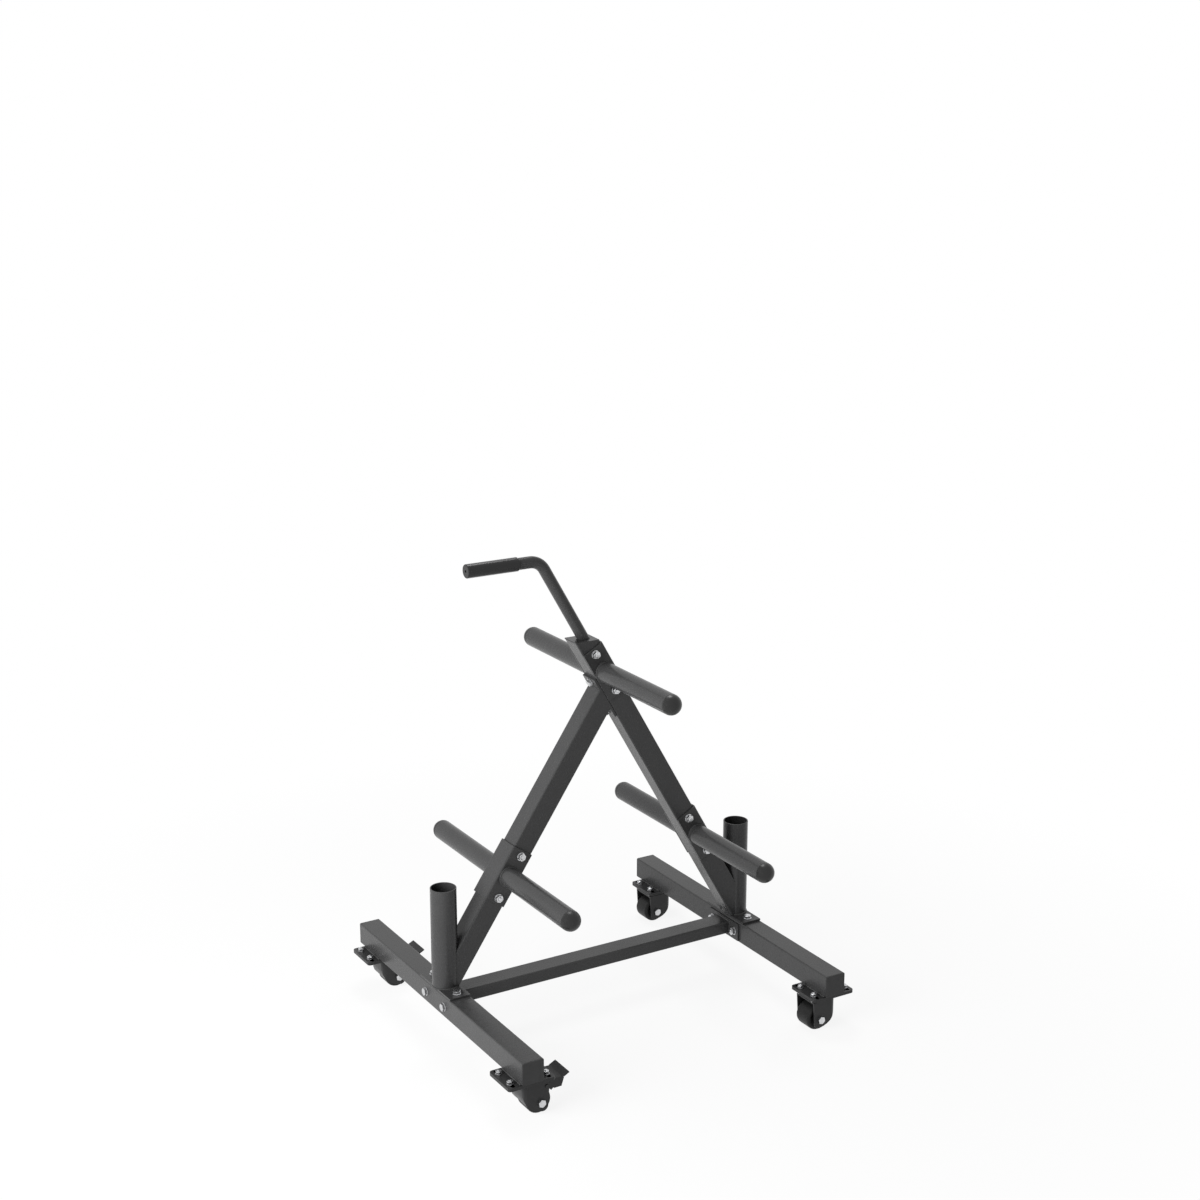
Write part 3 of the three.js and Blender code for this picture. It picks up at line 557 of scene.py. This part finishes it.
def makeHandle():
    v = handleValues
    lean = math.radians(uprightValues["lean"])
    turn = math.pi / 2 - lean
    footX, footZ = uprightValues["foot"]
    cornerX = footX - (v["height"] - footZ) * math.tan(lean) + v["shift"]
    reach = v["bend"] * math.tan(turn / 2)
    centre = Vector((cornerX - reach, 0, v["height"] - v["bend"]))
    path = [centre + v["bend"] * Vector((math.cos(lean + turn * k / v["bendSteps"]), 0,
                                         math.sin(lean + turn * k / v["bendSteps"])))
            for k in range(v["bendSteps"] + 1)]
    rise = Vector((-math.tan(lean), 0, 1))
    low = path[0] - rise * (path[0].z - v["start"])
    path = [low] + path + [Vector((v["end"], 0, v["height"]))]
    bm = bmesh.new()
    rings = []
    for k, point in enumerate(path):
        ahead = path[min(k + 1, len(path) - 1)] - path[max(k - 1, 0)]
        if k in (0, 1):
            ahead = path[1] - path[0]
        if k in (len(path) - 2, len(path) - 1):
            ahead = path[-1] - path[-2]
        ahead.normalize()
        up = Vector((0, 1, 0)).cross(ahead)
        for radius in (v["radius"], v["radius"] - v["wall"]):
            ring = []
            for s in range(v["sides"]):
                a = 2 * math.pi * s / v["sides"]
                spot = point + radius * (math.cos(a) * Vector((0, 1, 0)) + math.sin(a) * up)
                if k == 0:  # the foot is cut level on the cap plate
                    spot += ahead * ((v["start"] - spot.z) / ahead.z)
                ring.append(bm.verts.new(spot))
            rings.append(ring)
    outer, inner = rings[0::2], rings[1::2]
    bands = list(zip(outer, outer[1:])) + list(zip(inner, inner[1:]))
    for a, b in bands + [(outer[0], inner[0]), (outer[-1], inner[-1])]:
        for s in range(v["sides"]):
            n = (s + 1) % v["sides"]
            bm.faces.new((a[s], a[n], b[n], b[s]))
    bmesh.ops.recalc_face_normals(bm, faces=bm.faces)
    addPiece("pullHandle", bm, "frame", "powder_coat", ["pull_handle"])


gripValues = {"radius": 16.7 * mm, "bore": 14.65 * mm, "hole": 3 * mm, "holeEdge": 0.6 * mm,
              "wall": 4 * mm, "round": 2.2 * mm, "lip": 1.2 * mm, "lipIn": 1 * mm}


def makeGrip():
    v = gripValues
    low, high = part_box("handle_grip")
    length = high.x - low.x
    r = v["round"]
    profile = [(v["hole"], v["wall"]), (v["hole"], v["holeEdge"]), (v["hole"] + v["holeEdge"], 0.0)]
    profile += arc(v["radius"] - r, r, r, -90, 0, 5)
    profile += [(v["radius"], length - v["lip"]), (v["radius"] - v["lipIn"], length),
                (v["bore"], length), (v["bore"], v["wall"])]
    bm = turned(bmesh.new(), profile, (low.x, 0, (low.z + high.z) / 2), (1, 0, 0), 56)
    addPiece("handleGrip", bm, "frame", "grip_rubber", ["handle_grip"])


makeHandle()
makeGrip()
print("holders, pegs and handle made")

# Casters
wheelValues = {"radius": 31 * mm, "half": 25 * mm, "shoulder": 6 * mm, "hub": 31.7 * mm,
               "hubRadius": 11 * mm, "rim": 22 * mm, "recess": 3 * mm, "bore": 5.35 * mm,
               "chamfer": 0.6 * mm, "fillet": 1 * mm}
casterValues = {"boltAcross": 46 * mm, "boltAlong": 27 * mm, "boltReach": 10 * mm,
                "plateBottom": 87.5 * mm, "plateTop": 91 * mm, "clear": 0.1 * mm,
                "mountTop": 95.5 * mm, "edge": 0.5 * mm, "crownTop": 79.5 * mm,
                "crownWithin": 0.05 * mm, "crownFrom": 60.0, "crownBend": 4.2 * mm,
                "footOut": 46 * mm, "footHeight": 8 * mm, "footWithin": (1.5 * mm, 1 * mm),
                "footLength": 2 * mm, "footRound": 13 * mm}
casters = [("front_left", "frontLeft", -1), ("rear_left", "rearLeft", -1),
           ("front_right", "frontRight", 1), ("rear_right", "rearRight", 1)]


def boltSpots(node):
    c = casterValues
    low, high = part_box(node)
    middle = (low + high) / 2
    return [Vector((middle.x + sx * c["boltAcross"], middle.y + sy * c["boltAlong"], 0))
            for sx in (-1, 1) for sy in (-1, 1)]


# The fork is pressed from sheet, so its crown bends over into the legs
def pressCrown(bm):
    c = casterValues
    edges = [e for e in bm.edges if len(e.link_faces) == 2
             and all(abs(v.co.z - c["crownTop"]) < c["crownWithin"] for v in e.verts)
             and e.calc_face_angle(0.0) > math.radians(c["crownFrom"])]
    return bevel(bm, edges, c["crownBend"], 5)


# The lower corners at the open side are rounded too, so that the wheel shows past them
def roundFoot(bm, side, middle):
    c = casterValues
    x, z = middle - side * c["footOut"], c["footHeight"]
    withinX, withinZ = c["footWithin"]
    edges = [e for e in bm.edges if e.calc_length() > c["footLength"]
             and all(abs(v.co.x - x) < withinX and abs(v.co.z - z) < withinZ for v in e.verts)]
    return bevel(bm, edges, c["footRound"], 6)


def makeWheel(prefix, name):
    v = wheelValues
    low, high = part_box(f"{prefix}_wheel")
    hub, hubRadius, half, rim, shoulder = (
        v[key] for key in ("hub", "hubRadius", "half", "rim", "shoulder"))
    disc, c, f = half - v["recess"], v["chamfer"], v["fillet"]
    profile = [(v["bore"], hub), (hubRadius - c, hub), (hubRadius, hub - c), (hubRadius, disc + f),
               (hubRadius + f, disc), (rim - f, disc), (rim, disc + f), (rim, half - c),
               (rim + c, half)]
    profile += arc(v["radius"] - shoulder, half - shoulder, shoulder, 90, 0, 8)
    profile += [(radius, -height) for radius, height in reversed(profile)]
    addPiece(f"{name}Wheel", turned(bmesh.new(), profile, (low + high) / 2, (0, 1, 0), 72),
             f"{prefix}_roller", "wheel_rubber", [f"{prefix}_wheel"])


def makeCaster(prefix, name, side):
    c = casterValues
    plateNode, forkNode = f"{prefix}_caster_plate", f"{prefix}_caster_fork"
    spots = boltSpots(plateNode)

    def isBolt(point):
        if c["plateBottom"] - c["clear"] < point.z < c["plateTop"] + c["clear"]:
            return False
        return any(math.hypot(point.x - s.x, point.y - s.y) < c["boltReach"] for s in spots)

    addPiece(f"{name}CasterPlate", roundEdges(cutAway(nodeCopy(plateNode), isBolt), c["edge"]),
             "frame", "caster_metal", [plateNode])
    low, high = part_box(plateNode)
    fork = roundFoot(pressCrown(nodeCopy(forkNode)), side, (low.x + high.x) / 2)
    addPiece(f"{name}Fork", roundEdges(fork, c["edge"]), f"{prefix}_swivel", "caster_metal",
             [forkNode])
    makeWheel(prefix, name)
    if side < 0:
        easeNode(f"{name}BrakePedal", f"{prefix}_brake_pedal", c["edge"], f"{prefix}_brake",
                 "caster_metal")


for prefix, name, side in casters:
    makeCaster(prefix, name, side)
print("casters made")

# Fasteners: hex head, nut, washers and thread, copied to where the CAD has them
boltValues = {
    "large": {"flats": 17 * mm, "head": 6.5 * mm, "nut": 8 * mm, "tail": 3 * mm,
              "shank": 5 * mm, "washer": 10.5 * mm, "washerThick": 2 * mm},
    "axle": {"flats": 17 * mm, "head": 6.5 * mm, "nut": 8 * mm, "tail": 3 * mm,
             "shank": 5 * mm, "washer": 0.0, "washerThick": 0.0},
    "small": {"flats": 13 * mm, "head": 5.5 * mm, "nut": 6.5 * mm, "tail": 2.4 * mm,
              "shank": 4 * mm, "washer": 8 * mm, "washerThick": 1.3 * mm},
}
hexValues = {"steps": 36, "turned": 0.475, "slope": 30.0, "bore": 0.98, "washerEdge": 0.25 * mm}
threadValues = {"pitch": 1.25 * mm, "depth": 0.65 * mm, "crest": 0.05 * mm, "stop": 1.2 * mm,
                "chamfer": 0.7 * mm, "shankIn": 0.1 * mm, "sides": 24}
origin = (0, 0, 0)


# A hex block whose corners are turned off by a cone: below on a head, at both ends on a nut
def hexBlock(bm, flats, bottom, top, bore=0.0):
    steps = hexValues["steps"]
    turnedRadius = flats * hexValues["turned"]
    slope = math.tan(math.radians(hexValues["slope"]))
    loops = []

    def ring(radiusAt, heightAt):
        turns = [2 * math.pi * k / steps for k in range(steps)]
        loops.append([bm.verts.new((radiusAt(a) * math.cos(a), radiusAt(a) * math.sin(a),
                                    heightAt(a))) for a in turns])

    def hexRadius(a):
        return flats / 2 / math.cos((a % (math.pi / 3)) - math.pi / 6)

    def drop(a):
        return max(0.0, hexRadius(a) - turnedRadius) * slope

    if bore:
        ring(lambda a: bore, lambda a: bottom)
    ring(lambda a: turnedRadius, lambda a: bottom)
    ring(hexRadius, lambda a: bottom + drop(a))
    ring(hexRadius, lambda a: top - (drop(a) if bore else 0.0))
    ring(lambda a: turnedRadius, lambda a: top)
    if bore:
        ring(lambda a: bore, lambda a: top)
        loops.append(loops[0])
    made = []
    for low, high in zip(loops, loops[1:]):
        for k in range(steps):
            n = (k + 1) % steps
            made.append(bm.faces.new((low[k], low[n], high[n], high[k])))
    if not bore:
        made += [bm.faces.new(list(reversed(loops[0]))), bm.faces.new(loops[-1])]
    bmesh.ops.recalc_face_normals(bm, faces=made)


def washerRing(bm, inner, outer, bottom, top):
    e = hexValues["washerEdge"]
    turned(bm, [(inner, bottom), (outer - e, bottom), (outer, bottom + e), (outer, top - e),
                (outer - e, top), (inner, top)], origin, upAxis, 32)


def headTemplate(name, v):
    bm = bmesh.new()
    under = -v["washerThick"]
    hexBlock(bm, v["flats"], under - v["head"], under)
    if v["washer"]:
        washerRing(bm, v["shank"], v["washer"], under, 0.0)
    return smoothPiece(name, bm, meshValues["fastenerSharp"])


def nutTemplate(name, v):
    bm = bmesh.new()
    t, over = threadValues, v["washerThick"]
    top = over + v["nut"]
    if v["washer"]:
        washerRing(bm, v["shank"], v["washer"], 0.0, over)
    hexBlock(bm, v["flats"], over, top, bore=v["shank"] * hexValues["bore"])
    root, tip = v["shank"] - t["depth"], top + v["tail"]
    profile = [(0.0, over), (root, over)]
    level = top - 2 * t["pitch"]
    while level < tip - t["stop"]:
        profile += [(root, level), (v["shank"] - t["crest"], level + t["pitch"] / 2)]
        level += t["pitch"]
    profile += [(root, level), (root, tip - t["chamfer"]), (root - t["chamfer"], tip), (0.0, tip)]
    turned(bm, profile, origin, upAxis, t["sides"], closed=False)
    return smoothPiece(name, bm, meshValues["fastenerSharp"])


# One metre long, so that a copy is stretched to the length of its grip
def shankTemplate(name, v):
    radius = v["shank"] - threadValues["shankIn"]
    profile = [(0.0, 0.0), (radius, 0.0), (radius, 1.0), (0.0, 1.0)]
    bm = turned(bmesh.new(), profile, origin, upAxis, threadValues["sides"], closed=False)
    return smoothPiece(name, bm, meshValues["fastenerSharp"])


templates = {kind: {"head": headTemplate(f"{kind}Head", v), "nut": nutTemplate(f"{kind}Nut", v),
                    "shank": shankTemplate(f"{kind}Shank", v)} for kind, v in boltValues.items()}


# Where the CAD bolt clamps: axis points from its head to its nut
def nodeBolt(node, axis, v):
    low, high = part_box(node)
    axis = Vector(axis)
    middle = (low + high) / 2
    length = abs((high - low).dot(axis))
    grip = length - v["head"] - v["nut"] - v["tail"] - 2 * v["washerThick"]
    start = middle - axis * (length / 2 - v["head"] - v["washerThick"])
    return {"start": start, "axis": axis, "grip": grip}


def setBolts(name, kind, bolts, body, nodes, shapes=("head", "nut", "shank")):
    parts = []
    for shape in shapes:
        places = []
        for b in bolts:
            places.append({"at": b["start"] + b["axis"] * (b["grip"] if shape == "nut" else 0.0),
                           "facing": Vector(upAxis).rotation_difference(b["axis"]).to_euler(),
                           "stretch": (1, 1, b["grip"] if shape == "shank" else 1)})
        looseTurn = math.pi * 2 if shape == "nut" else 1.0
        parts.append(placeCopies(f"{name}{shape}", templates[kind][shape], places, "zinc",
                                 looseTurn, len(name)))
    settle(joinPieces(name, parts), body, "zinc", nodes)


def makeFasteners():
    ends = [(side, end) for side in ("left", "right") for end in ("front", "rear")]
    groups = {
        "crossBolts": [(f"{side}_{end}_cross_bolt", (1 if side == "left" else -1, 0, 0))
                       for side, end in ends],
        "holderBolts": [(f"{side}_{end}_holder_bolt", (0, 0, -1)) for side, end in ends],
        "saddleBolts": [(f"{level}_{place}_saddle_bolt", (0, -1, 0))
                        for level in ("left", "right", "top") for place in ("lower", "upper")],
    }
    for name, members in groups.items():
        bolts = [nodeBolt(node, axis, boltValues["large"]) for node, axis in members]
        setBolts(name, "large", bolts, "frame", [node for node, axis in members])
    gap = uprightValues["plate"]
    apex = [{"start": onRight(-uprightValues["face"] - gap, along), "axis": -outward, "grip": gap}
            for along in uprightValues["boltsAlong"]]
    setBolts("apexBolts", "large", apex, "frame", [], shapes=("head", "shank"))
    bottom, plateBolts = casterValues["plateBottom"], []
    for prefix, name, side in casters:
        for spot in boltSpots(f"{prefix}_caster_plate"):
            plateBolts.append({"start": spot + Vector((0, 0, bottom)), "axis": Vector(upAxis),
                               "grip": casterValues["mountTop"] - bottom})
        node = f"{prefix}_axle_bolt"
        axle = nodeBolt(node, (0, 1, 0), boltValues["axle"])
        setBolts(f"{name}AxleBolt", "axle", [axle], f"{prefix}_swivel", [node])
    setBolts("casterBolts", "small", plateBolts, "frame", [])
    for group in templates.values():
        for piece in group.values():
            bpy.data.objects.remove(piece)


makeFasteners()
print("fasteners placed")

# Weld beads
weldValues = {"pegOut": 0.1 * mm, "pegLift": 0.4 * mm, "holderIn": 0.4 * mm, "holderFoot": 155 * mm,
              "crossAcross": 387.2 * mm, "crossDeep": 27.9 * mm,
              "crossLevels": (107.5 * mm, 140.5 * mm), "mountAcross": 420 * mm, "mountOut": 28 * mm,
              "mountLevel": 95.6 * mm, "mountInset": 4 * mm, "mountEnd": 428 * mm}


def setBead(name, points, closed=True):
    mesh = bpy.data.meshes.new(name)
    count = len(points)
    edges = [(k, (k + 1) % count) for k in range(count if closed else count - 1)]
    mesh.from_pydata([tuple(p) for p in points], edges, [])
    piece = runTree(name, mesh, trees["bead"], {
        "Bead Radius": beadValues["radius"], "Ripple": beadValues["ripple"],
        "Step": beadValues["step"], "Finish": finishes["powder_coat"],
    })
    for polygon in piece.data.polygons:
        polygon.use_smooth = True
    settle(piece, "frame", "powder_coat")


def makeBeads():
    v = weldValues
    for level in ("left", "right", "top"):
        for end, facing in (("front", -1), ("rear", 1)):
            low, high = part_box(f"{level}_{end}_peg")
            y = (low.y if end == "rear" else high.y) + facing * v["pegLift"]
            ring = circle(((low.x + high.x) / 2, y, (low.z + high.z) / 2), (0, 1, 0),
                          pegValues["outer"] + v["pegOut"], 0, 48)
            setBead(f"{level}{end.title()}PegWeld", ring)
    for side, sx in (("left", -1), ("right", 1)):
        low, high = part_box(f"{side}_bar_holder")
        ring = circle(((low.x + high.x) / 2, 0, v["holderFoot"]), upAxis,
                      holderValues["outer"] - v["holderIn"], 0, 64)
        setBead(f"{side}HolderWeld", ring)
        x, y = sx * v["crossAcross"], v["crossDeep"]
        bottom, top = v["crossLevels"]
        setBead(f"{side}CrossWeld", [(x, y, bottom), (x, -y, bottom), (x, -y, top), (x, y, top)])
        for end in ("front", "rear"):
            low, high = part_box(f"{end}_{side}_caster_plate")
            start, stop = max(low.y + v["mountInset"], -v["mountEnd"]), high.y - v["mountInset"]
            for edge in (-1, 1):
                x = sx * v["mountAcross"] + edge * v["mountOut"]
                setBead(f"{side}{end.title()}MountWeld{'Out' if edge == sx else 'In'}",
                        [(x, start, v["mountLevel"]), (x, stop, v["mountLevel"])], closed=False)


makeBeads()
print("weld beads laid")

# Floor, world and lamps
stageValues = {"floor": (0.9, 0.9, 0.9), "roughness": 0.9, "gloss": 0.1, "reach": 40.0,
               "fadeFrom": 0.6, "fadeTo": 1.9, "nearWhite": 0.88, "world": 0.17}


# White wherever the camera, or a mirror or glass, looks at the background
def seenRays(nodes, links):
    rays = nodes.new("ShaderNodeLightPath")
    seen = rays.outputs["Is Camera Ray"]
    for label in ("Is Glossy Ray", "Is Transmission Ray"):
        either = nodes.new("ShaderNodeMath")
        either.operation = "MAXIMUM"
        links.new(seen, either.inputs[0])
        links.new(rays.outputs[label], either.inputs[1])
        seen = either.outputs["Value"]
    return seen


def makeFloor():
    v = stageValues
    mesh = bpy.data.meshes.new("floor")
    corners = [(x * v["reach"], y * v["reach"], 0) for x, y in ((-1, -1), (1, -1), (1, 1), (-1, 1))]
    mesh.from_pydata(corners, [], [(0, 1, 2, 3)])
    floor = newPiece("floor", mesh)
    material = bpy.data.materials.new("paleFloor")
    material.use_nodes = True
    nodes, links = material.node_tree.nodes, material.node_tree.links
    shader = nodes["Principled BSDF"]
    shader.inputs["Base Color"].default_value = (*v["floor"], 1)
    shader.inputs["Roughness"].default_value = v["roughness"]
    shader.inputs["Specular IOR Level"].default_value = v["gloss"]
    glow = nodes.new("ShaderNodeEmission")
    glow.inputs["Strength"].default_value = 1.0
    place = nodes.new("ShaderNodeTexCoord")
    distance = nodes.new("ShaderNodeVectorMath")
    distance.operation = "LENGTH"
    links.new(place.outputs["Object"], distance.inputs[0])
    fade = nodes.new("ShaderNodeMapRange")
    fade.inputs["From Min"].default_value = v["fadeFrom"]
    fade.inputs["From Max"].default_value = v["fadeTo"]
    fade.inputs["To Min"].default_value = v["nearWhite"]
    links.new(distance.outputs["Value"], fade.inputs["Value"])
    seen = nodes.new("ShaderNodeMath")
    seen.operation = "MULTIPLY"
    links.new(seenRays(nodes, links), seen.inputs[0])
    links.new(fade.outputs["Result"], seen.inputs[1])
    blend = nodes.new("ShaderNodeMixShader")
    links.new(seen.outputs["Value"], blend.inputs["Fac"])
    links.new(shader.outputs["BSDF"], blend.inputs[1])
    links.new(glow.outputs["Emission"], blend.inputs[2])
    links.new(blend.outputs["Shader"], nodes["Material Output"].inputs["Surface"])
    mesh.materials.append(material)


def makeWorld():
    world = bpy.data.worlds.new("studio")
    scene.world = world
    world.use_nodes = True
    nodes, links = world.node_tree.nodes, world.node_tree.links
    soft = nodes["Background"]
    soft.inputs["Color"].default_value = (1, 1, 1, 1)
    soft.inputs["Strength"].default_value = stageValues["world"]
    white = nodes.new("ShaderNodeBackground")
    white.inputs["Color"].default_value = (1, 1, 1, 1)
    white.inputs["Strength"].default_value = 1.0
    pick = nodes.new("ShaderNodeMixShader")
    links.new(seenRays(nodes, links), pick.inputs["Fac"])
    links.new(soft.outputs["Background"], pick.inputs[1])
    links.new(white.outputs["Background"], pick.inputs[2])
    links.new(pick.outputs["Shader"], nodes["World Output"].inputs["Surface"])


lamps = {
    "leftSoft": {"at": (-2.9, -0.6, 1.3), "aim": (0, 0, 0.4), "size": 2.4, "watts": 142,
                 "mirrored": False},
    "topSoft": {"at": (0.4, 1.2, 3.8), "aim": (0, 0, 0.5), "size": 1.5, "watts": 46,
                "mirrored": True},
    "rightRim": {"at": (3.4, 1.2, 0.9), "aim": (0, 0, 0.4), "size": 1.6, "watts": 36,
                 "mirrored": False},
}


def makeLamps():
    for name, v in lamps.items():
        data = bpy.data.lights.new(name, "AREA")
        data.shape = "DISK"
        data.size = v["size"]
        data.energy = v["watts"]
        lamp = bpy.data.objects.new(name, data)
        lamp.location = v["at"]
        lamp.rotation_mode = "QUATERNION"
        look = Vector(v["aim"]) - Vector(v["at"])
        lamp.rotation_quaternion = look.to_track_quat("-Z", "Y")
        lamp.visible_camera = False
        lamp.visible_glossy = v["mirrored"]
        scene.collection.objects.link(lamp)


makeFloor()
makeWorld()
makeLamps()
scene.view_settings.view_transform = "Standard"
print("stage and lamps set")
